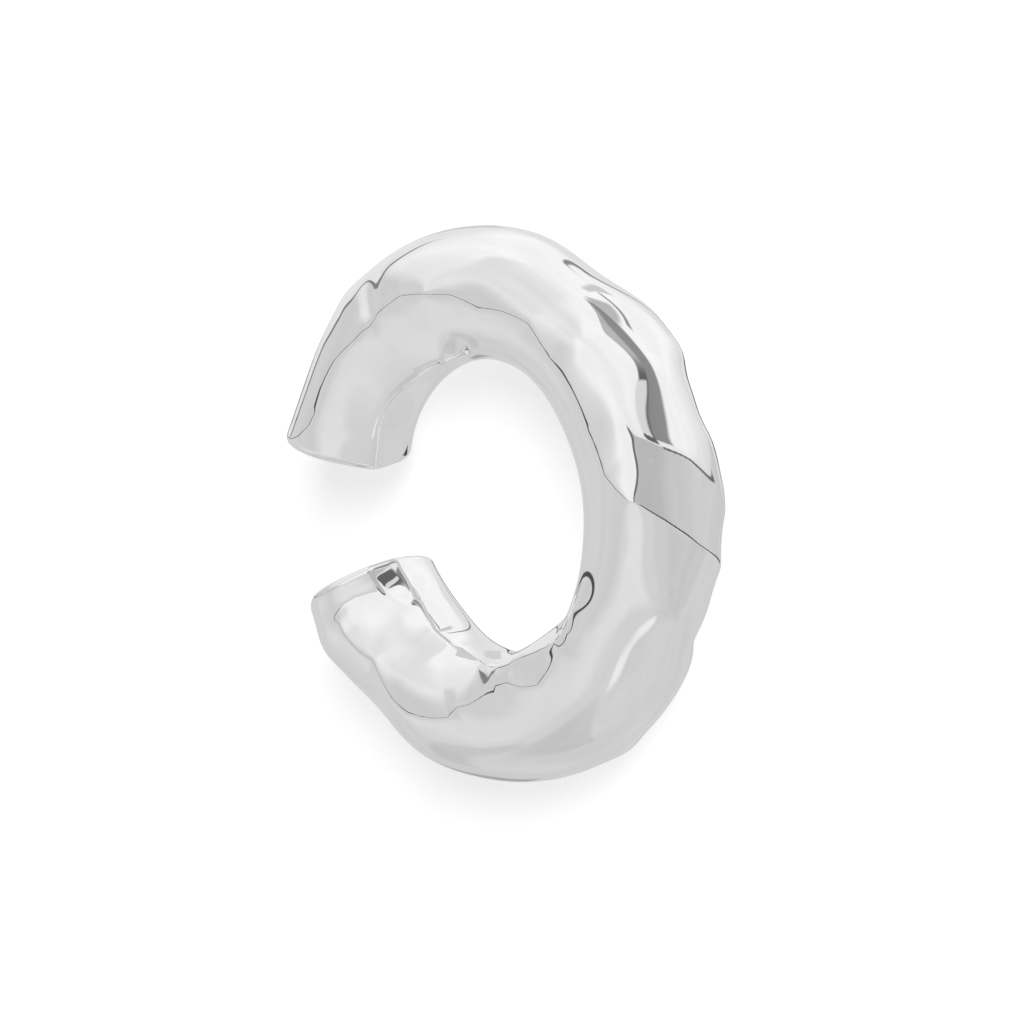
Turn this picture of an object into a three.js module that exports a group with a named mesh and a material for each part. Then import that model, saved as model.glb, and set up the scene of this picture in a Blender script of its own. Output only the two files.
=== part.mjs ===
// Ear cuff: one cast ring of polished silver, open at one side. The band is thick and uneven, like metal
// that was poured and then hammered: it swells, has flat places, and folds along soft crests.
// Millimetres. The cuff lies on its back: +X points away from the gap, +Y along its height, +Z up to its front.
import * as THREE from 'three';
import { LoftGeometry } from 'three/addons/geometries/LoftGeometry.js';
import * as BufferGeometryUtils from 'three/addons/utils/BufferGeometryUtils.js';

// Driving sizes. A turn is an angle round the cuff, in degrees: 0 at +X and 90 at the top of its height.
const RING_RADIUS = 6.12;
const BAND_THICKNESS = 3.76;
const UPPER_END_TURN = 169;
const LOWER_END_TURN = -153;
const END_ROUNDING = 0.32;

const HALF_BAND = BAND_THICKNESS / 2;

// How finely the surface is cut into flats
const STATIONS = 92;
const POINTS_AROUND = 36;
const ROUNDING_STEPS = 5;

// How far the band reaches from its middle, in shares of HALF_BAND. The rows are evenly spaced from the upper
// end to the lower end, and the columns go round the band from the face that looks away from the ear.
const FACES = ['outer', 'outerFront', 'front', 'innerFront', 'inner', 'innerBack', 'back', 'outerBack'];
const SECTIONS = [
  [0.98, 1.02, 1.10, 1.14, 0.95, 0.94, 1.01, 1.02],
  [0.94, 0.90, 1.04, 1.05, 0.93, 0.90, 1.03, 1.02],
  [0.99, 1.01, 1.05, 1.02, 0.96, 0.95, 1.05, 1.02],
  [1.06, 1.06, 1.00, 1.02, 0.99, 0.98, 1.03, 0.98],
  [1.06, 1.03, 0.97, 1.04, 0.99, 1.00, 1.00, 1.01],
  [1.00, 1.01, 0.98, 1.04, 0.95, 0.97, 1.01, 1.03],
  [0.99, 1.02, 0.96, 1.06, 0.98, 1.02, 1.00, 0.98],
  [0.79, 0.97, 0.94, 1.04, 0.95, 1.01, 1.01, 0.70],
  [0.98, 1.01, 0.92, 1.06, 0.98, 0.98, 1.02, 1.19],
  [0.96, 0.96, 0.87, 1.09, 1.05, 1.00, 1.04, 0.73],
  [0.96, 0.98, 0.92, 1.06, 1.04, 1.03, 1.04, 1.04],
  [1.06, 1.04, 0.98, 1.05, 1.05, 1.05, 1.01, 0.88],
  [0.98, 1.06, 1.02, 1.05, 1.03, 1.02, 1.00, 0.80],
  [0.98, 1.02, 1.02, 0.89, 0.84, 0.97, 1.01, 1.02],
  [1.09, 1.06, 1.02, 1.06, 1.00, 0.98, 1.00, 1.02],
  [1.06, 1.06, 1.00, 1.12, 0.98, 1.03, 1.02, 1.02],
  [1.01, 1.02, 1.00, 1.10, 0.93, 0.96, 1.05, 0.99],
  [1.00, 0.96, 1.02, 1.06, 1.05, 1.04, 1.04, 1.02],
  [1.04, 1.04, 1.02, 0.98, 1.11, 1.11, 1.01, 1.04],
  [0.86, 0.70, 0.92, 0.98, 1.22, 1.21, 1.00, 0.98],
  [0.99, 1.08, 0.89, 0.92, 1.22, 1.21, 1.02, 0.99],
  [0.93, 0.93, 1.02, 1.04, 1.26, 1.12, 1.01, 1.02],
];

// Crests raised along a path of [turn, around] angles. Lift, reach and edge are shares of HALF_BAND: how high
// the crest stands, how far its flanks reach, and how softly it is rounded.
const CRESTS = [
  { name: 'front ridge left', lift: 0.05, reach: 0.25, edge: 0.05,
    path: [[168, 58], [166.5, 71], [164, 84], [160, 94], [155, 98], [147, 95], [138, 93], [127, 97],
      [120, 92], [115, 90], [107, 84], [97, 89]] },
  { name: 'front ridge', lift: 0.04, reach: 0.25, edge: 0.05,
    path: [[97, 89], [88, 90], [78, 99], [70, 91], [60, 85], [55, 92], [50, 97], [40, 97], [33, 98],
      [27, 99], [20, 95], [14, 91], [10, 79], [7, 67]] },
  { name: 'band middle', lift: -0.010, reach: 0.20, edge: 0.12,
    path: [[70, 22], [61, 26], [55, 32], [48, 37], [43, 41], [38, 40], [33, 38], [28, 41], [24, 44],
      [19, 49]] },
  { name: 'patch top', lift: 0.04, reach: 0.25, edge: 0.06,
    path: [[20, 50], [18, 36], [14, 12], [8, -10], [3, -30]] },
  { name: 'patch foot', lift: 0.03, reach: 0.25, edge: 0.05,
    path: [[7, 67], [3, 42], [0, 27], [-3, 12], [-7, -19], [-10, -45]] },
  { name: 'patch foot right', lift: 0.05, reach: 0.35, edge: 0.06,
    path: [[-3, 12], [-7, -19], [-10, -45]] },
  { name: 'end corner', lift: 0.10, reach: 0.30, edge: 0.03,
    path: [[-156, 143], [-147, 143], [-142, 146], [-137, 150], [-131, 157]] },
  { name: 'end valley', lift: -0.04, reach: 0.25, edge: 0.06,
    path: [[-143, 97], [-144.5, 108], [-144.5, 122], [-142.5, 137], [-139, 146]] },
  { name: 'lower arm crest', lift: 0.08, reach: 0.22, edge: 0.06,
    path: [[-156, 162], [-141, 166], [-128, 166], [-114, 158], [-97, 158], [-81, 146], [-71, 134],
      [-55, 132], [-44, 122], [-38, 114]] },
  { name: 'lower outline', lift: 0.06, reach: 0.20, edge: 0.05,
    path: [[-141, 95], [-137, 93], [-130, 97], [-124, 104], [-118, 96], [-112, 87], [-105, 84],
      [-95, 90], [-88, 95], [-86, 105], [-81, 108], [-75, 115], [-69, 121], [-63, 118], [-57, 106],
      [-51, 98], [-44, 101], [-38, 104], [-33, 111]] },
  { name: 'upper arm crest', lift: 0.25, reach: 0.30, edge: 0.05,
    path: [[169, 155], [158, 153], [149, 149], [141, 147], [130, 147], [116, 148], [99, 143]] },
  { name: 'arm valley', lift: -0.02, reach: 0.15, edge: 0.08,
    path: [[-105, 148], [-110, 136], [-116, 124]] },
];

// Round swells, or hollows where rise is below zero, centred on turn and around in degrees. Along, across and
// rise are shares of HALF_BAND.
const SWELLS = [
  { turn: 130, around: 30, along: 0.30, across: 0.50, rise: 0.04 },
  { turn: 119, around: 74, along: 0.22, across: 0.50, rise: -0.05 },
  { turn: 38, around: 318, along: 0.30, across: 0.50, rise: 0.06 },
  { turn: 23, around: 318, along: 0.30, across: 0.50, rise: -0.04 },
  { turn: 6, around: 316, along: 0.30, across: 0.50, rise: 0.03 },
  { turn: -25, around: 320, along: 0.30, across: 0.50, rise: -0.09 },
  { turn: -55, around: 330, along: 0.30, across: 0.50, rise: 0.06 },
  { turn: -141, around: 45, along: 0.30, across: 0.50, rise: 0.05 },
  { turn: -15, around: 29, along: 0.50, across: 0.35, rise: 0.12 },
  { turn: -25, around: 112, along: 0.45, across: 0.45, rise: 0.08 },
  { turn: 46, around: 62, along: 0.30, across: 0.35, rise: 0.03 },
  { turn: 25, around: 62, along: 0.45, across: 0.35, rise: 0.04 },
  { turn: 33, around: 17, along: 0.45, across: 0.35, rise: 0.05 },
  { turn: 13, around: 56, along: 0.30, across: 0.30, rise: 0.02 },
  { turn: 97, around: 52, along: 0.35, across: 0.40, rise: -0.01 },
  { turn: 82, around: 58, along: 0.35, across: 0.40, rise: 0.01 },
];

const { degToRad, clamp, lerp } = THREE.MathUtils;

// Distance along the band for each radian of turn, in shares of HALF_BAND
function turnScale(around) {
  return RING_RADIUS / HALF_BAND + Math.cos(degToRad(around));
}

// The smallest turning that takes one angle round the band to the other, in radians
function aroundStep(from, to) {
  return degToRad(THREE.MathUtils.euclideanModulo(to - from + 180, 360) - 180);
}

// Cubic B-spline weights of four neighbouring values
function splineWeights(f) {
  const g = 1 - f;
  return [g ** 3, 3 * f ** 3 - 6 * f ** 2 + 4, 3 * g ** 3 - 6 * g ** 2 + 4, f ** 3].map((weight) => weight / 6);
}

// The rows go on in a straight line past both ends of the table
function sectionRow(row) {
  const last = SECTIONS.length - 1;
  if (row < 0) return SECTIONS[0].map((share, face) => 2 * share - SECTIONS[1][face]);
  if (row > last) return SECTIONS[last].map((share, face) => 2 * share - SECTIONS[last - 1][face]);
  return SECTIONS[row];
}

function sectionReach(turn, around) {
  const place = (UPPER_END_TURN - turn) / (UPPER_END_TURN - LOWER_END_TURN) * (SECTIONS.length - 1);
  const row = clamp(Math.floor(place), 0, SECTIONS.length - 2);
  const column = THREE.MathUtils.euclideanModulo(around, 360) / (360 / FACES.length);
  const face = Math.floor(column);
  const alongWeights = splineWeights(place - row);
  const aroundWeights = splineWeights(column - face);
  let reach = 0;
  for (let i = 0; i < 4; i++) {
    const shares = sectionRow(row + i - 1);
    for (let j = 0; j < 4; j++) {
      reach += alongWeights[i] * aroundWeights[j] * shares[(face + j - 1 + FACES.length) % FACES.length];
    }
  }
  return reach;
}

// Distance to the nearest point of a crest's path, measured on the band in shares of HALF_BAND
function distanceToPath(path, turn, around) {
  let nearest = Infinity;
  for (let i = 1; i < path.length; i++) {
    const [fromTurn, fromAround] = path[i - 1];
    const [toTurn, toAround] = path[i];
    const scale = turnScale((fromAround + toAround) / 2);
    const leg = new THREE.Vector2(degToRad(toTurn - fromTurn) * scale, degToRad(toAround - fromAround));
    const point = new THREE.Vector2(degToRad(turn - fromTurn) * scale, aroundStep(fromAround, around));
    const share = clamp(point.dot(leg) / leg.lengthSq(), 0, 1);
    nearest = Math.min(nearest, point.distanceTo(leg.multiplyScalar(share)));
  }
  return nearest;
}

function crestLift(crest, turn, around) {
  const distance = distanceToPath(crest.path, turn, around);
  return crest.lift * Math.exp(-(Math.hypot(distance, crest.edge) - crest.edge) / crest.reach);
}

function swellRise(swell, turn, around) {
  const along = degToRad(turn - swell.turn) * turnScale(swell.around) / swell.along;
  const across = aroundStep(swell.around, around) / swell.across;
  return swell.rise * Math.exp(-(along ** 2 + across ** 2));
}

// Reach of the band from its middle, in millimetres
function bandReach(turn, around) {
  let share = sectionReach(turn, around);
  for (const crest of CRESTS) share += crestLift(crest, turn, around);
  for (const swell of SWELLS) share += swellRise(swell, turn, around);
  return share * HALF_BAND;
}

// One section of the band, in the half-plane of its turn, drawn in by inset
function bandSection(turn, inset) {
  const points = [];
  for (let i = 0; i < POINTS_AROUND; i++) {
    const around = i * 360 / POINTS_AROUND;
    const reach = bandReach(turn, around) - inset;
    const radius = RING_RADIUS + reach * Math.cos(degToRad(around));
    const height = reach * Math.sin(degToRad(around));
    points.push(new THREE.Vector3(
      radius * Math.cos(degToRad(turn)), radius * Math.sin(degToRad(turn)), height));
  }
  return points;
}

// The turns and insets of all sections: a rounded rim, the even run of the band, and the other rim
function stations() {
  const roundingTurn = THREE.MathUtils.radToDeg(END_ROUNDING / RING_RADIUS);
  const rim = [];
  for (let i = 0; i < ROUNDING_STEPS; i++) {
    const angle = i / ROUNDING_STEPS * Math.PI / 2;
    rim.push({ back: roundingTurn * (1 - Math.cos(angle)), inset: END_ROUNDING * (1 - Math.sin(angle)) });
  }
  const start = UPPER_END_TURN - roundingTurn;
  const end = LOWER_END_TURN + roundingTurn;
  const upperRim = rim.map(({ back, inset }) => ({ turn: UPPER_END_TURN - back, inset }));
  const lowerRim = rim.map(({ back, inset }) => ({ turn: LOWER_END_TURN + back, inset })).reverse();
  const run = [];
  for (let i = 0; i <= STATIONS; i++) run.push({ turn: lerp(start, end, i / STATIONS), inset: 0 });
  return [...upperRim, ...run, ...lowerRim];
}

function cuffGeometry() {
  const sections = stations().map(({ turn, inset }) => bandSection(turn, inset));
  const loft = new LoftGeometry(sections, { capStart: true, capEnd: true });
  const skin = new THREE.BufferGeometry();
  skin.setAttribute('position', loft.getAttribute('position'));
  skin.setIndex(loft.getIndex());
  return BufferGeometryUtils.mergeVertices(skin);
}

function polishedSilver() {
  return new THREE.MeshStandardMaterial({ color: 0xf6f6f6, metalness: 1, roughness: 0.04 });
}

// The cuff is set down with the middle of its base at the origin
const cuff = new THREE.Mesh(cuffGeometry(), polishedSilver());
cuff.name = 'cuff_band';
const box = new THREE.Box3().setFromObject(cuff);
const middle = box.getCenter(new THREE.Vector3());
cuff.position.set(-middle.x, -middle.y, -box.min.z);

const earCuff = new THREE.Group();
earCuff.add(cuff);

export default earCuff;
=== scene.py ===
"""Polished silver ear cuff on a pale floor, in soft studio light

Lengths are in metres, in the part's own frame.
"""

import math

import bpy
import numpy as np
from bpy.props import FloatProperty, FloatVectorProperty, IntProperty, PointerProperty
from bpy.types import Operator, Panel, PropertyGroup
from mathutils import Matrix, Vector


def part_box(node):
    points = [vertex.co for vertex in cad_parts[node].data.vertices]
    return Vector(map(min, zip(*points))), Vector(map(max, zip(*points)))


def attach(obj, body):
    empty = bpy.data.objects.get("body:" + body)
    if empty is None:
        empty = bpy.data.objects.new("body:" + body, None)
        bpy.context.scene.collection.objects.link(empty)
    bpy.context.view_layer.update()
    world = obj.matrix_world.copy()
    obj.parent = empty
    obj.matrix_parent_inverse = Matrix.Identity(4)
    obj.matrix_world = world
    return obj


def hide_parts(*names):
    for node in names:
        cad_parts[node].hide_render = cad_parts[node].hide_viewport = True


bl_info = {
    "name": "Ear cuff",
    "version": (1, 0, 0),
    "blender": (4, 5, 0),
    "location": "3D View > Sidebar > Ear cuff",
    "description": "Builds a cast silver ear cuff and the studio around it",
    "category": "Add Mesh",
}

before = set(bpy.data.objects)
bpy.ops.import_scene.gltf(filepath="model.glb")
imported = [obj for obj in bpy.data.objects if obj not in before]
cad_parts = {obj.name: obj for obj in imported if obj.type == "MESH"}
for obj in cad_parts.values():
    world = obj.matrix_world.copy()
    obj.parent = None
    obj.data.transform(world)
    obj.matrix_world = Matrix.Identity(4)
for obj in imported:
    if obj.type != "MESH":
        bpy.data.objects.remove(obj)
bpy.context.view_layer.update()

BAND_NODE = "cuff_band"
MM = 0.001

# How far the band reaches from its middle, in shares of half its thickness. The rows are evenly
# spaced from the upper end to the lower end, and the columns go round the band from the face that
# looks away from the ear.
FACES = (
    "outer", "outer front", "front", "inner front", "inner", "inner back", "back", "outer back")
SECTIONS = (
    (0.98, 1.02, 1.10, 1.14, 0.95, 0.94, 1.01, 1.02),
    (0.94, 0.90, 1.04, 1.05, 0.93, 0.90, 1.03, 1.02),
    (0.99, 1.01, 1.05, 1.02, 0.96, 0.95, 1.05, 1.02),
    (1.06, 1.06, 1.00, 1.02, 0.99, 0.98, 1.03, 0.98),
    (1.06, 1.03, 0.97, 1.04, 0.99, 1.00, 1.00, 1.01),
    (1.00, 1.01, 0.98, 1.04, 0.95, 0.97, 1.01, 1.03),
    (0.99, 1.02, 0.96, 1.06, 0.98, 1.02, 1.00, 0.98),
    (0.79, 0.97, 0.94, 1.04, 0.95, 1.01, 1.01, 0.70),
    (0.98, 1.01, 0.92, 1.06, 0.98, 0.98, 1.02, 1.19),
    (0.96, 0.96, 0.87, 1.09, 1.05, 1.00, 1.04, 0.73),
    (0.96, 0.98, 0.92, 1.06, 1.04, 1.03, 1.04, 1.04),
    (1.06, 1.04, 0.98, 1.05, 1.05, 1.05, 1.01, 0.88),
    (0.98, 1.06, 1.02, 1.05, 1.03, 1.02, 1.00, 0.80),
    (0.98, 1.02, 1.02, 0.89, 0.84, 0.97, 1.01, 1.02),
    (1.09, 1.06, 1.02, 1.06, 1.00, 0.98, 1.00, 1.02),
    (1.06, 1.06, 1.00, 1.12, 0.98, 1.03, 1.02, 1.02),
    (1.01, 1.02, 1.00, 1.10, 0.93, 0.96, 1.05, 0.99),
    (1.00, 0.96, 1.02, 1.06, 1.05, 1.04, 1.04, 1.02),
    (1.04, 1.04, 1.02, 0.98, 1.11, 1.11, 1.01, 1.04),
    (0.86, 0.70, 0.92, 0.98, 1.22, 1.21, 1.00, 0.98),
    (0.99, 1.08, 0.89, 0.92, 1.22, 1.21, 1.02, 0.99),
    (0.93, 0.93, 1.02, 1.04, 1.26, 1.12, 1.01, 1.02),
)

# Crests: lift, reach and edge in shares of half the band's thickness, then the path as turn and
# around in degrees. A lift below 0 makes a valley.
CRESTS = {
    "front ridge left": (0.05, 0.25, 0.05, (
        (168, 58), (166.5, 71), (164, 84), (160, 94), (155, 98), (147, 95), (138, 93), (127, 97),
        (120, 92), (115, 90), (107, 84), (97, 89))),
    "front ridge": (0.04, 0.25, 0.05, (
        (97, 89), (88, 90), (78, 99), (70, 91), (60, 85), (55, 92), (50, 97), (40, 97), (33, 98),
        (27, 99), (20, 95), (14, 91), (10, 79), (7, 67))),
    "band middle": (-0.010, 0.20, 0.12, (
        (70, 22), (61, 26), (55, 32), (48, 37), (43, 41), (38, 40), (33, 38), (28, 41), (24, 44),
        (19, 49))),
    "patch top": (0.04, 0.25, 0.06, (
        (20, 50), (18, 36), (14, 12), (8, -10), (3, -30))),
    "patch foot": (0.03, 0.25, 0.05, (
        (7, 67), (3, 42), (0, 27), (-3, 12), (-7, -19), (-10, -45))),
    "patch foot right": (0.05, 0.35, 0.06, (
        (-3, 12), (-7, -19), (-10, -45))),
    "end corner": (0.10, 0.30, 0.03, (
        (-156, 143), (-147, 143), (-142, 146), (-137, 150), (-131, 157))),
    "end valley": (-0.04, 0.25, 0.06, (
        (-143, 97), (-144.5, 108), (-144.5, 122), (-142.5, 137), (-139, 146))),
    "lower arm crest": (0.08, 0.22, 0.06, (
        (-156, 162), (-141, 166), (-128, 166), (-114, 158), (-97, 158), (-81, 146), (-71, 134),
        (-55, 132), (-44, 122), (-38, 114))),
    "lower outline": (0.06, 0.20, 0.05, (
        (-141, 95), (-137, 93), (-130, 97), (-124, 104), (-118, 96), (-112, 87), (-105, 84),
        (-95, 90), (-88, 95), (-86, 105), (-81, 108), (-75, 115), (-69, 121), (-63, 118),
        (-57, 106), (-51, 98), (-44, 101), (-38, 104), (-33, 111))),
    "upper arm crest": (0.25, 0.30, 0.05, (
        (169, 155), (158, 153), (149, 149), (141, 147), (130, 147), (116, 148), (99, 143))),
    "arm valley": (-0.02, 0.15, 0.08, (
        (-105, 148), (-110, 136), (-116, 124))),
}

# Swells: turn and around in degrees, then along, across and rise in shares of half the band's
# thickness. A rise below 0 makes a dent.
SWELLS = (
    (130, 30, 0.30, 0.50, 0.04),
    (119, 74, 0.22, 0.50, -0.05),
    (38, 318, 0.30, 0.50, 0.06),
    (23, 318, 0.30, 0.50, -0.04),
    (6, 316, 0.30, 0.50, 0.03),
    (-25, 320, 0.30, 0.50, -0.09),
    (-55, 330, 0.30, 0.50, 0.06),
    (-141, 45, 0.30, 0.50, 0.05),
    (-15, 29, 0.50, 0.35, 0.12),
    (-25, 112, 0.45, 0.45, 0.08),
    (46, 62, 0.30, 0.35, 0.03),
    (25, 62, 0.45, 0.35, 0.04),
    (33, 17, 0.45, 0.35, 0.05),
    (13, 56, 0.30, 0.30, 0.02),
    (97, 52, 0.35, 0.40, -0.01),
    (82, 58, 0.35, 0.40, 0.01),
)


class CuffSizes(PropertyGroup):
    """Sizes of the cast band"""

    ring_radius: FloatProperty(
        name="Ring radius", description="From the cuff's centre to the middle of the band",
        default=6.12 * MM, unit="LENGTH", precision=5)
    band_thickness: FloatProperty(
        name="Band thickness", description="Thickness of the band before its swells and crests",
        default=3.76 * MM, unit="LENGTH", precision=5)
    upper_end: FloatProperty(
        name="Upper end", description="Turn round the cuff at which the upper end is cut",
        default=math.radians(169), subtype="ANGLE")
    lower_end: FloatProperty(
        name="Lower end", description="Turn round the cuff at which the lower end is cut",
        default=math.radians(-153), subtype="ANGLE")
    end_rounding: FloatProperty(
        name="End rounding", description="Radius of the rim round each cut end",
        default=0.32 * MM, unit="LENGTH", precision=5)
    stations: IntProperty(
        name="Stations", description="Sections of the mesh between the rounded rims",
        default=500, min=20)
    points_around: IntProperty(
        name="Points around", description="Points of each section", default=180, min=12)
    rim_steps: IntProperty(
        name="Rim steps", description="Sections of the mesh in each rounded rim", default=10, min=2)


class SilverFinish(PropertyGroup):
    """Finish of the polished silver"""

    colour: FloatVectorProperty(
        name="Silver", description="Colour of the clean polished metal",
        default=(0.965, 0.965, 0.965), subtype="COLOR", min=0, max=1)
    polish: FloatProperty(
        name="Roughness", description="Roughness of the mirror polish",
        default=0.03, min=0, max=1, subtype="FACTOR")
    haze: FloatProperty(
        name="Handling haze",
        description="Roughness that faint hairlines and handling add in places",
        default=0.03, min=0, max=1, subtype="FACTOR")
    haze_size: FloatProperty(
        name="Haze size", description="Size of the hazy patches",
        default=2.5 * MM, unit="LENGTH", precision=5)


class StudioLook(PropertyGroup):
    """Camera, floor and light"""

    camera_yaw: FloatProperty(
        name="Camera yaw",
        description="How far the camera is turned from the cuff's face towards its closed side",
        default=math.radians(44), subtype="ANGLE")
    camera_rise: FloatProperty(
        name="Camera rise", description="How far the camera stands above the cuff's middle as worn",
        default=math.radians(7), subtype="ANGLE")
    camera_distance: FloatProperty(
        name="Camera distance", description="From the cuff's centre to the camera",
        default=80 * MM, unit="LENGTH", precision=4)
    pixels_per_mm: FloatProperty(
        name="Pixels for each millimetre", description="Scale of the picture at the cuff's centre",
        default=34.75)
    centre_pixel: FloatVectorProperty(
        name="Centre pixel", description="Where the cuff's centre falls in the picture",
        default=(494, 505), size=2)
    floor_size: FloatProperty(
        name="Floor radius", description="Radius of the flat part of the floor",
        default=0.6, unit="LENGTH")
    floor_colour: FloatVectorProperty(
        name="Floor", description="Colour of the floor",
        default=(0.93, 0.93, 0.93), subtype="COLOR", min=0, max=1)
    floor_glow: FloatProperty(
        name="Floor glow", description="Light that the back-lit floor gives off",
        default=0.56, min=0)
    room_light: FloatProperty(
        name="Room light", description="Even light that falls on the floor from all sides",
        default=0.20, min=0)
    light_power: FloatProperty(
        name="Light power", description="Power of the soft light",
        default=0.25, min=0, unit="POWER")
    light_size: FloatProperty(
        name="Light size", description="Width of the soft light", default=0.12, unit="LENGTH")
    light_place: FloatVectorProperty(
        name="Light place",
        description="Where the soft light hangs, on the camera's side of the cuff",
        default=(0.13, 0.10, 0.14), size=3, subtype="TRANSLATION")


IMAGE_SIZE = 1024
SENSOR_WIDTH = 36.0

# The camera sees from its distance divided by this to the floor's radius times this
CLIP_FACTOR = 20

WHITE = (1.0, 1.0, 1.0, 1.0)
FLOOR_ROUGHNESS = 0.9

# The floor, in shares of its radius: a ring that keeps its middle flat, and how far its edge sweeps
# out and up
FLOOR_SIDES = 96
FLOOR_MIDDLE = 0.2
EDGE_SWEEP = 0.5
EDGE_STEPS = 12


class Signal:
    """A socket for Python's own arithmetic: every operation adds the Math node for it"""

    def __init__(self, tree, socket):
        self.tree = tree
        self.socket = socket

    def _math(self, operation, *values):
        return self.tree.add("ShaderNodeMath", {"operation": operation}, dict(enumerate(values)))

    def __add__(self, other):
        return self._math("ADD", self, other)

    def __sub__(self, other):
        return self._math("SUBTRACT", self, other)

    def __rsub__(self, other):
        return self._math("SUBTRACT", other, self)

    def __mul__(self, other):
        return self._math("MULTIPLY", self, other)

    def __truediv__(self, other):
        return self._math("DIVIDE", self, other)

    def arcsine(self):
        return self._math("ARCSINE", self)

    def angle_from(self, other):
        return self._math("ARCTAN2", self, other)

    def step(self, start, end):
        """0 up to start, 1 from end on, and a smooth rise between them"""
        settings = {"interpolation_type": "SMOOTHSTEP", "clamp": True}
        inputs = {"Value": self, "From Min": start, "From Max": end}
        return self.tree.add("ShaderNodeMapRange", settings, inputs)

    def window(self, start, full, fade, end):
        """1 between full and fade, 0 before start and after end"""
        return self.step(start, full) * (1 - self.step(fade, end))


class NodeTree:
    """A shader's nodes, added one at a time"""

    def __init__(self, tree):
        self.tree = tree
        tree.nodes.clear()

    def add(self, kind, settings=None, inputs=None, output=0):
        """Adds a node, sets its settings, then gives its sockets their values or links"""
        node = self.tree.nodes.new(kind)
        for name, value in (settings or {}).items():
            setattr(node, name, value)
        for name, value in (inputs or {}).items():
            if isinstance(value, Signal):
                self.tree.links.new(value.socket, node.inputs[name])
            else:
                node.inputs[name].default_value = value
        return Signal(self, node.outputs[output]) if node.outputs else node

    def dot(self, vector, direction):
        settings = {"operation": "DOT_PRODUCT"}
        return self.add("ShaderNodeVectorMath", settings, {0: vector, 1: direction}, "Value")


def spline_weights(f):
    """Weights that a cubic B-spline gives four neighbouring values"""
    g = 1 - f
    return np.stack([g ** 3, 3 * f ** 3 - 6 * f ** 2 + 4, 3 * g ** 3 - 6 * g ** 2 + 4, f ** 3]) / 6


def section_reach(shares_along, around):
    """Reach of the band on a grid, from the table of sections"""
    table = np.array(SECTIONS)
    rows, columns = len(SECTIONS), len(FACES)
    table = np.vstack([2 * table[0] - table[1], table, 2 * table[-1] - table[-2]])
    place = shares_along * (rows - 1)
    row = np.clip(np.floor(place).astype(int), 0, rows - 2)
    column = around % math.tau / (math.tau / columns)
    face = np.floor(column).astype(int)
    along_weights = spline_weights(place - row)
    around_weights = spline_weights(column - face)
    lines = sum(along_weights[i][:, None] * table[row + i] for i in range(4))
    return sum(around_weights[j] * lines[:, (face + j - 1) % columns] for j in range(4))


def around_step(start, end):
    """The smallest turning from one angle round the band to the other"""
    return (end - start + math.pi) % math.tau - math.pi


class Band:
    """The band's surface as a formula of turn and around"""

    def __init__(self, sizes):
        self.ring_radius = sizes.ring_radius
        self.half = sizes.band_thickness / 2
        self.upper_end = sizes.upper_end
        self.lower_end = sizes.lower_end

    def turn_scale(self, around):
        """Distance along the band for each radian of turn, in shares of half its thickness"""
        return self.ring_radius / self.half + math.cos(around)

    def distance_to_path(self, path, turn, around):
        """Distance to the nearest point of a crest's path, in shares of half the thickness"""
        nearest = np.full(turn.shape, np.inf)
        for start, end in zip(path, path[1:]):
            start_turn, start_around = np.radians(start)
            end_turn, end_around = np.radians(end)
            scale = self.turn_scale((start_around + end_around) / 2)
            leg_x = (end_turn - start_turn) * scale
            leg_y = end_around - start_around
            x = (turn - start_turn) * scale
            y = around_step(start_around, around)
            share = np.clip((x * leg_x + y * leg_y) / (leg_x ** 2 + leg_y ** 2), 0, 1)
            nearest = np.minimum(nearest, np.hypot(x - share * leg_x, y - share * leg_y))
        return nearest

    def reach(self, turns, arounds):
        """Reach of the band from its middle, on the grid of turns and arounds"""
        share = section_reach((self.upper_end - turns) / (self.upper_end - self.lower_end), arounds)
        turn, around = np.meshgrid(turns, arounds, indexing="ij")
        for lift, reach, edge, path in CRESTS.values():
            distance = self.distance_to_path(path, turn, around)
            share += lift * np.exp(-(np.hypot(distance, edge) - edge) / reach)
        for swell_turn, swell_around, along, across, rise in SWELLS:
            middle_turn, middle_around = math.radians(swell_turn), math.radians(swell_around)
            x = (turn - middle_turn) * self.turn_scale(middle_around) / along
            y = around_step(middle_around, around) / across
            share += rise * np.exp(-(x ** 2 + y ** 2))
        return share * self.half

    def points(self, turns, insets, arounds):
        """Points of the surface, drawn in by the insets, on the grid of turns and arounds"""
        reach = self.reach(turns, arounds) - insets[:, None]
        radius = self.ring_radius + reach * np.cos(arounds)
        turn = turns[:, None]
        return np.stack(
            [radius * np.cos(turn), radius * np.sin(turn), reach * np.sin(arounds)], axis=-1)


def band_stations(sizes):
    """Turns and insets of the sections: a rounded rim, the even run of the band, the other rim"""
    angle = np.arange(sizes.rim_steps) / sizes.rim_steps * math.pi / 2
    back = sizes.end_rounding / sizes.ring_radius * (1 - np.cos(angle))
    inset = sizes.end_rounding * (1 - np.sin(angle))
    rim_turn = sizes.end_rounding / sizes.ring_radius
    run = np.linspace(sizes.upper_end - rim_turn, sizes.lower_end + rim_turn, sizes.stations)
    turns = np.concatenate([sizes.upper_end - back, run, (sizes.lower_end + back)[::-1]])
    insets = np.concatenate([inset, np.zeros(sizes.stations), inset[::-1]])
    return turns, insets


def loft_faces(rows, columns):
    """Quads between neighbouring sections and one face over each end, all facing out"""
    start = np.arange(rows - 1)[:, None] * columns
    here = np.arange(columns)[None, :]
    beside = (here + 1) % columns
    quads = np.stack(
        [start + here, start + beside, start + columns + beside, start + columns + here], axis=-1)
    caps = [tuple(range(columns))[::-1], tuple(range((rows - 1) * columns, rows * columns))]
    return [tuple(quad) for quad in quads.reshape(-1, 4).tolist()] + caps


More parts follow.
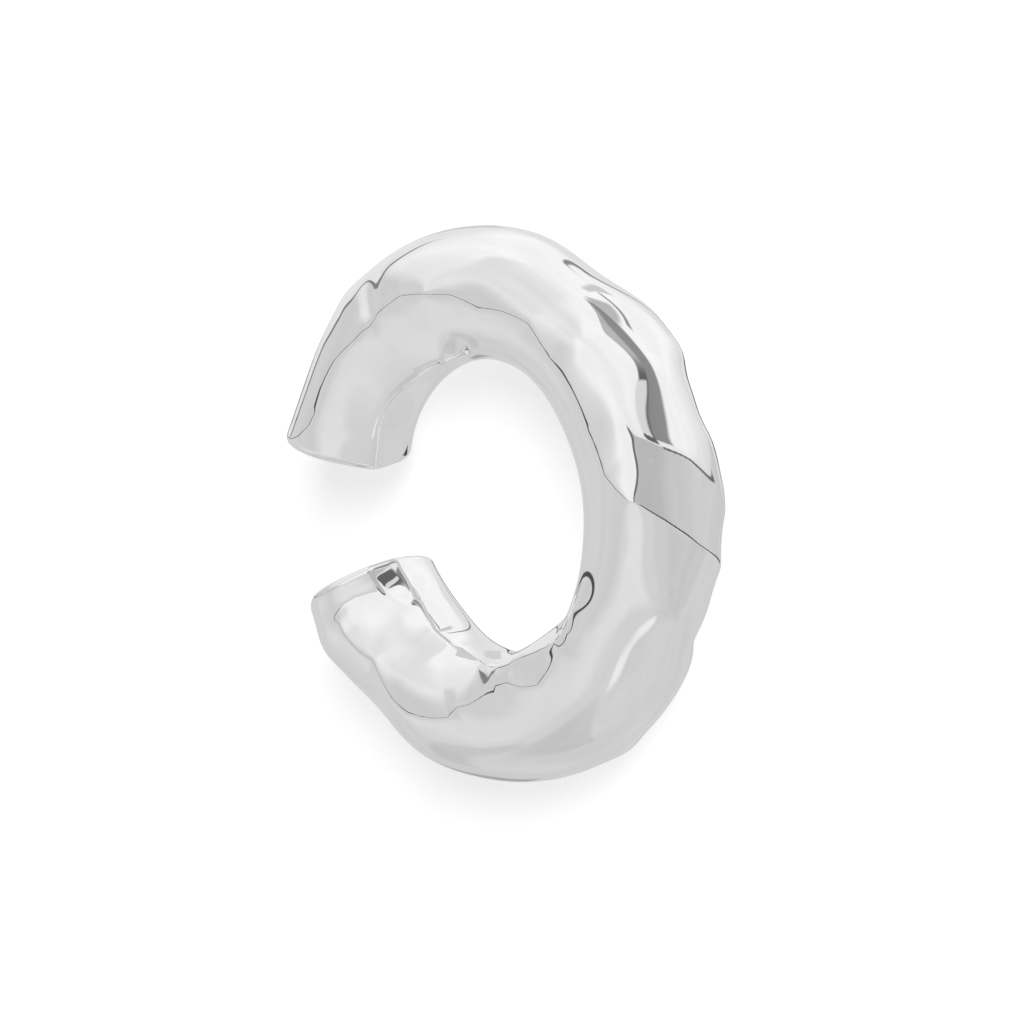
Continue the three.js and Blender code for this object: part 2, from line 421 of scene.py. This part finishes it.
def fitted_to_box(points, box):
    """Scales the surface to the height of the CAD model's box and sets it where that model stands

    Returns the points and the shift, which is where the ring's centre comes to lie.
    """
    low, high = (np.array(corner) for corner in box)
    points = points * ((high[1] - low[1]) / np.ptp(points[:, 1]))
    middle = (points.min(axis=0) + points.max(axis=0)) / 2
    shift = (low + high) / 2 - middle
    shift[2] = low[2] - points[:, 2].min()
    return points + shift, shift


def band_surface(sizes):
    """The band's points where the CAD model stands, section by section, and the ring's centre"""
    turns, insets = band_stations(sizes)
    arounds = np.linspace(0, math.tau, sizes.points_around, endpoint=False)
    points = Band(sizes).points(turns, insets, arounds)
    return fitted_to_box(points.reshape(-1, 3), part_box(BAND_NODE))


# How the haze of handling spreads: between which values of the noise it sets in, and how broken its
# edges are
HAZE_ONSET = (0.48, 0.75)
HAZE_DETAIL = 3.0


def polished_silver(finish):
    """Mirror-polished silver with a faint haze of hairlines and handling"""
    material = bpy.data.materials.new("polished_silver")
    material.use_nodes = True
    nodes = NodeTree(material.node_tree)
    place = nodes.add("ShaderNodeTexCoord", output="Object")
    patches = nodes.add("ShaderNodeTexNoise", {"noise_dimensions": "3D"}, {
        "Vector": place, "Scale": 1 / finish.haze_size, "Detail": HAZE_DETAIL})
    haze = patches.step(*HAZE_ONSET)
    shader = nodes.add("ShaderNodeBsdfPrincipled", None, {
        "Base Color": (*finish.colour, 1.0),
        "Metallic": 1.0,
        "Roughness": haze * finish.haze + finish.polish,
    })
    nodes.add("ShaderNodeOutputMaterial", None, {"Surface": shader})
    return material


def floor_material(look):
    """Pale back-lit floor"""
    material = bpy.data.materials.new("studio_floor")
    material.use_nodes = True
    nodes = NodeTree(material.node_tree)
    shader = nodes.add("ShaderNodeBsdfPrincipled", None, {
        "Base Color": (*look.floor_colour, 1.0),
        "Roughness": FLOOR_ROUGHNESS,
        "Specular IOR Level": 0.0,
        "Emission Color": WHITE,
        "Emission Strength": look.floor_glow,
    })
    nodes.add("ShaderNodeOutputMaterial", None, {"Surface": shader})
    material.cycles.emission_sampling = "NONE"
    return material


class EARCUFF_OT_band(Operator):
    """Builds the cast silver band in place of its CAD solid"""

    bl_idname = "earcuff.band"
    bl_label = "Silver band"

    def execute(self, context):
        columns = context.scene.ear_cuff_sizes.points_around
        points, _ = band_surface(context.scene.ear_cuff_sizes)
        mesh = bpy.data.meshes.new("silver_band")
        mesh.from_pydata(points.tolist(), [], loft_faces(len(points) // columns, columns))
        mesh.polygons.foreach_set("use_smooth", [True] * len(mesh.polygons))
        mesh.materials.append(polished_silver(context.scene.ear_cuff_finish))
        if mesh.validate():
            raise RuntimeError("the band's mesh has broken faces")
        piece = bpy.data.objects.new("silver_band", mesh)
        context.scene.collection.objects.link(piece)
        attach(piece, "root")
        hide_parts(BAND_NODE)
        return {"FINISHED"}


# Tones of the studio that the band mirrors, from 0 for black to 1 for white. The dome gets lighter
# upwards: rises in degrees above the picture's horizon, and the tone at each. The floor lies below
# the horizon, whose line is soft by so many degrees to each side.
DOME = ((6, 0.70), (26, 0.84), (50, 0.94))
FLOOR_TONE = 0.64
HORIZON_EDGE = 0.3

# What stands in the studio, painted in this order: the grid that it is laid out on, its rise and
# its heading, each as start, full, fade and end in degrees, and last its tone. Heading 0 is behind
# the camera, and 90 to its right.
PANELS = {
    "far wall": ("upright", (-3, 3, 20, 29), (-181, -180, -104, -92), 0.62),
    "end of the far wall": ("upright", (-3, 3, 8, 24), (-104, -92, -82, -68), 0.61),
    "shade high in the dome": ("upright", (18, 28, 55, 85), (-105, -90, -60, -44), 0.77),
    "window beside the card": ("upright", (-0.3, 0.3, 22, 38), (-70, -56, -34, -30), 0.90),
    "light on the dome's right": ("upright", (18, 34, 88, 90), (50, 75, 150, 158), 0.95),
    "grey card": ("dropped", (-1, 1, 19, 21), (-33.5, -30.5, 143, 146), 0.50),
    "lit side of the card": ("dropped", (-1, 1, 19, 21), (0, 55, 143, 146), 0.62),
    "left edge of the card": ("dropped", (-1, 1, 19, 21), (-36.5, -34.5, -32, -30), 0.15),
    "top edge of the card": ("dropped", (17.5, 19, 21, 22.5), (14, 22, 122, 128), 0.15),
    "left wall": ("left slant", (-0.3, 0.3, 20, 45), (-181, -180, -141, -139), 0.80),
    "right wall": ("upright", (-0.3, 0.3, 20, 45), (144, 147, 180, 181), 0.75),
    "edge of the left wall": ("left slant", (-4, 4, 31, 37), (-143, -141.5, -138.5, -137), 0.22),
    "edge of the right wall": ("right slant", (-4, 4, 54, 62), (158.7, 159.4, 160.2, 160.9), 0.26),
    "top edge of the right wall": ("upright", (65.2, 66.8, 68.2, 69.8), (76, 84, 142, 150), 0.30),
    "gap in the dome": ("upright", (30, 34, 86, 90), (-2, 1, 42, 52), 0.27),
    "foot of the gap": ("upright", (21, 24, 41, 52), (-2, 1, 12, 18), 0.13),
    "light in the gap": ("upright", (33.5, 34.5, 39, 40.5), (-4, -1, 10, 14), 0.72),
    "top of the gap": ("upright", (50, 58, 86, 90), (-2, 1, 8, 16), 0.48),
    "gap at the zenith": ("upright", (70, 75, 87, 89), (42, 52, 118, 130), 0.50),
    "gap past the zenith": ("upright", (50, 56, 76, 80), (145, 148, 152, 155), 0.60),
    "floor below the card": ("upright", (-60, -35, -12, 0), (-15, 15, 60, 95), 0.58),
    "floor by the camera": ("upright", (-91, -90, -52, -44), (-110, -90, -45, -30), 0.57),
    "light across the floor": ("upright", (-42, -32, -20, -12), (-124, -108, -62, -48), 0.71),
    "left shadow on the floor": ("upright", (-50, -47, -43, -40), (-152, -146, -92, -84), 0.56),
    "shadow by the cuff": ("upright", (-40, -36, -26, -22), (-181, -180, -172, -166), 0.40),
    "lamp by the card": ("upright", (-30, -20, -10, -4), (-72, -48, -36, -26), 0.76),
    "lamp on the floor": ("upright", (-54, -47, -43, -37), (-32, -27, -20, -14), 0.84),
    "far horizon": ("upright", (-0.8, -0.4, 0.4, 0.8), (-181, -180, -155, -145), 0.07),
    "far horizon, left": ("upright", (-1.1, -0.7, 0.4, 0.8), (-155, -145, -65, -55), 0.07),
    "far horizon, right": ("dropped", (-2.0, -1.2, 0.8, 1.6), (-29, -19, 180, 181), 0.06),
}

# The studio's light is a little uneven: how close the variations stand, between which values of the
# noise the tone changes, and how much of it does
UNEVEN_SCALE = 2.4
UNEVEN_ONSET = (0.3, 0.7)
UNEVEN_SHARE = 0.08

# By how many degrees the floor's edge drops on the far right, and at which headings it does
HORIZON_DROP = 12
DROP_HEADINGS = (40, 115, 150, 156)

# By how many degrees the edges of the walls lean over, and between which rises they do
LEFT_FOOT = (-10, 6, 12)
LEFT_SLANT = (25, 18, 40)
RIGHT_SLANT = (15, 55, 70)


def leaning(rise, slant):
    """By how many degrees an edge has leaned over at this rise"""
    amount, start, end = slant
    return rise.step(start, end) * amount


class EARCUFF_OT_stage(Operator):
    """Sets up the camera, the pale floor and the studio light"""

    bl_idname = "earcuff.stage"
    bl_label = "Studio"

    def execute(self, context):
        look = context.scene.ear_cuff_look
        centre = Vector(band_surface(context.scene.ear_cuff_sizes)[1])
        to_camera = Vector((
            math.sin(look.camera_yaw) * math.cos(look.camera_rise),
            math.sin(look.camera_rise),
            math.cos(look.camera_yaw) * math.cos(look.camera_rise),
        ))
        self.camera(context, look, centre, to_camera)
        self.floor(context, look)
        self.soft_light(context, look)
        self.surroundings(context, look)
        context.scene.view_settings.view_transform = "Standard"
        return {"FINISHED"}

    def camera(self, context, look, centre, to_camera):
        """Sets the camera so that the cuff's centre falls on its pixel, at the picture's scale"""
        right = (-to_camera).cross(Vector((0, 1, 0))).normalized()
        up = right.cross(-to_camera)
        data = bpy.data.cameras.new("camera")
        data.sensor_width = SENSOR_WIDTH
        data.lens = SENSOR_WIDTH * look.pixels_per_mm / MM * look.camera_distance / IMAGE_SIZE
        data.shift_x = 0.5 - look.centre_pixel[0] / IMAGE_SIZE
        data.shift_y = look.centre_pixel[1] / IMAGE_SIZE - 0.5
        data.clip_start = look.camera_distance / CLIP_FACTOR
        data.clip_end = look.floor_size * CLIP_FACTOR
        camera = bpy.data.objects.new("camera", data)
        place = centre + to_camera * look.camera_distance
        axes = Matrix((right, up, to_camera)).transposed().to_4x4()
        camera.matrix_world = Matrix.Translation(place) @ axes
        context.scene.collection.objects.link(camera)
        context.scene.camera = camera

    def floor(self, context, look):
        """A flat disc whose edge sweeps up into a low wall"""
        rings = [(FLOOR_MIDDLE, 0.0)]
        for step in range(EDGE_STEPS + 1):
            angle = step / EDGE_STEPS * math.pi / 2
            rings.append((1 + EDGE_SWEEP * math.sin(angle), EDGE_SWEEP * (1 - math.cos(angle))))
        points = []
        for radius, height in rings:
            for side in range(FLOOR_SIDES):
                angle = -side / FLOOR_SIDES * math.tau
                point = Vector((radius * math.cos(angle), radius * math.sin(angle), height))
                points.append(point * look.floor_size)
        faces = loft_faces(len(rings), FLOOR_SIDES)[:-1]
        mesh = bpy.data.meshes.new("studio_floor")
        mesh.from_pydata(points, [], faces)
        mesh.polygons.foreach_set("use_smooth", [True] * len(mesh.polygons))
        mesh.materials.append(floor_material(look))
        floor = bpy.data.objects.new("studio_floor", mesh)
        floor.visible_glossy = False
        context.scene.collection.objects.link(floor)

    def soft_light(self, context, look):
        """One broad soft light, which gives the floor its shadow and isn't seen in the mirror"""
        data = bpy.data.lights.new("soft_light", "AREA")
        data.shape = "DISK"
        data.size = look.light_size
        data.energy = look.light_power
        light = bpy.data.objects.new("soft_light", data)
        light.location = look.light_place
        light.rotation_euler = light.location.to_track_quat("Z", "Y").to_euler()
        light.visible_glossy = False
        context.scene.collection.objects.link(light)

    def surroundings(self, context, look):
        """The studio that the polished band mirrors, and an even light for all other rays"""
        world = bpy.data.worlds.new("studio")
        world.use_nodes = True
        context.scene.world = world
        nodes = NodeTree(world.node_tree)
        direction = nodes.add("ShaderNodeTexCoord", output="Generated")
        behind = (math.sin(look.camera_yaw), 0.0, math.cos(look.camera_yaw))
        right = (math.cos(look.camera_yaw), 0.0, -math.sin(look.camera_yaw))
        degree = math.radians(1)
        rise = nodes.dot(direction, (0.0, 1.0, 0.0)).arcsine() / degree
        heading = nodes.dot(direction, right).angle_from(nodes.dot(direction, behind)) / degree

        dropped = rise + heading.window(*DROP_HEADINGS) * HORIZON_DROP
        grids = {
            "upright": (rise, heading),
            "dropped": (dropped, heading),
            "left slant": (rise, heading + leaning(rise, LEFT_FOOT) + leaning(rise, LEFT_SLANT)),
            "right slant": (rise, heading + leaning(rise, RIGHT_SLANT)),
        }
        dome = DOME[0][1]
        for (start, low), (end, high) in zip(DOME, DOME[1:]):
            dome = rise.step(start, end) * (high - low) + dome
        above = dropped.step(-HORIZON_EDGE, HORIZON_EDGE)
        tone = above * dome + (1 - above) * FLOOR_TONE
        for grid, rises, headings, panel_tone in PANELS.values():
            panel_rise, panel_heading = grids[grid]
            mask = panel_rise.window(*rises) * panel_heading.window(*headings)
            tone = tone * (1 - mask) + mask * panel_tone
        patches = nodes.add("ShaderNodeTexNoise", {"noise_dimensions": "3D"}, {
            "Vector": direction, "Scale": UNEVEN_SCALE})
        tone = tone * (patches.step(*UNEVEN_ONSET) * UNEVEN_SHARE + (1 - UNEVEN_SHARE / 2))

        mirrored = nodes.add("ShaderNodeBackground", None, {"Color": tone, "Strength": 1.0})
        plain = nodes.add("ShaderNodeBackground", None, {
            "Color": WHITE, "Strength": look.room_light})
        in_mirror = nodes.add("ShaderNodeLightPath", output="Is Glossy Ray")
        both = nodes.add("ShaderNodeMixShader", None, {0: in_mirror, 1: plain, 2: mirrored})
        nodes.add("ShaderNodeOutputWorld", None, {"Surface": both})


class EARCUFF_PT_panel(Panel):
    """Lists the cuff's sizes, finish and operators"""

    bl_idname = "EARCUFF_PT_panel"
    bl_label = "Ear cuff"
    bl_space_type = "VIEW_3D"
    bl_region_type = "UI"
    bl_category = "Ear cuff"

    def draw(self, context):
        scene = context.scene
        for group in (scene.ear_cuff_sizes, scene.ear_cuff_finish, scene.ear_cuff_look):
            box = self.layout.box()
            for name in group.__annotations__:
                box.prop(group, name)
        for operator in OPERATORS:
            self.layout.operator(operator.bl_idname)


GROUPS = {"ear_cuff_sizes": CuffSizes, "ear_cuff_finish": SilverFinish, "ear_cuff_look": StudioLook}
OPERATORS = (EARCUFF_OT_band, EARCUFF_OT_stage)


def register():
    for name, group in GROUPS.items():
        bpy.utils.register_class(group)
        setattr(bpy.types.Scene, name, PointerProperty(type=group))
    for cls in (*OPERATORS, EARCUFF_PT_panel):
        bpy.utils.register_class(cls)


def unregister():
    for cls in (EARCUFF_PT_panel, *OPERATORS):
        bpy.utils.unregister_class(cls)
    for name, group in GROUPS.items():
        delattr(bpy.types.Scene, name)
        bpy.utils.unregister_class(group)


def main():
    register()
    bpy.ops.earcuff.band()
    bpy.ops.earcuff.stage()


if __name__ == "__main__":
    main()
